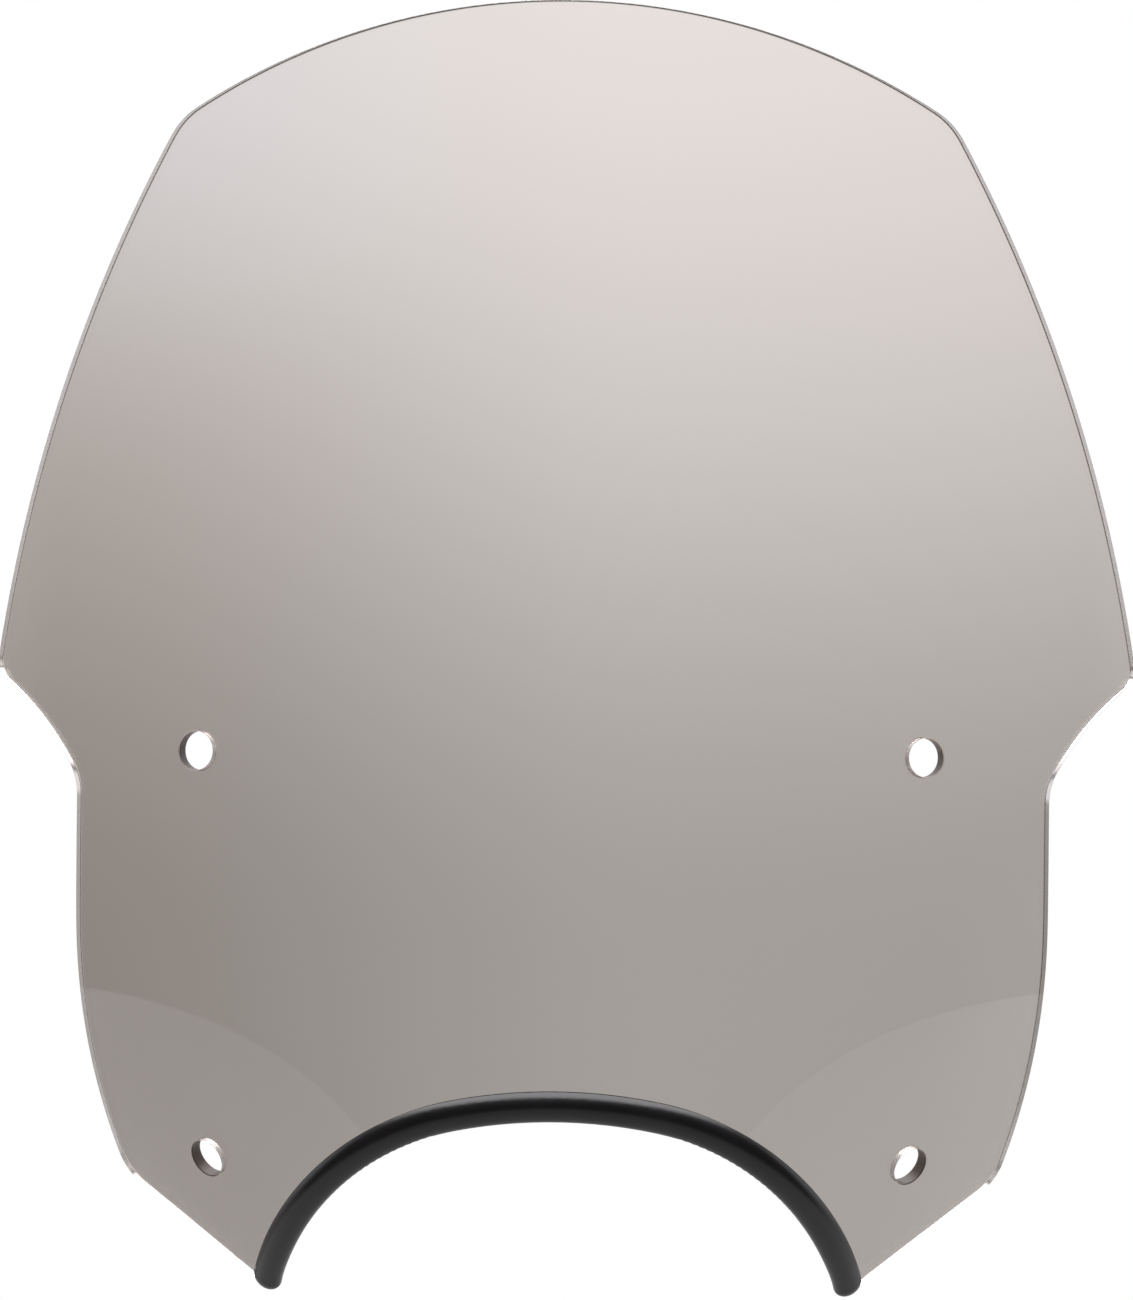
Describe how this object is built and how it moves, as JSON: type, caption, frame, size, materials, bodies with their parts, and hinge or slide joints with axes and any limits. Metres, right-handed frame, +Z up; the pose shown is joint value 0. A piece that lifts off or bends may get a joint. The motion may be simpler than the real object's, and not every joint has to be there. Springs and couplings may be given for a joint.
{
  "type": "motorcycle windshield screen",
  "caption": "Curved, tinted clear acrylic windshield screen with hand cut-outs, bare mounting holes and a soft black trim around its headlight cut-out.",
  "frame": {"origin": "under the middle of the object's width and depth, level with the tips of the trim", "axes": "+X to the right as seen from in front, +Z up along the screen's height, -Y out of its convex front face"},
  "size_m": [0.572, 0.1277, 0.6295],
  "materials": {
    "tinted_acrylic": "polished, transparent, light bronze-grey tint",
    "black_pvc": "satin black soft PVC",
    "spring_steel": "plain rolled strip",
    "butyl": "tacky black sealant"
  },
  "bodies": {
    "root": {"screen": "tinted_acrylic", "edge_trim": "black_pvc", "trim_clips": "spring_steel", "trim_sealant": "butyl"}
  },
  "joints": []
}
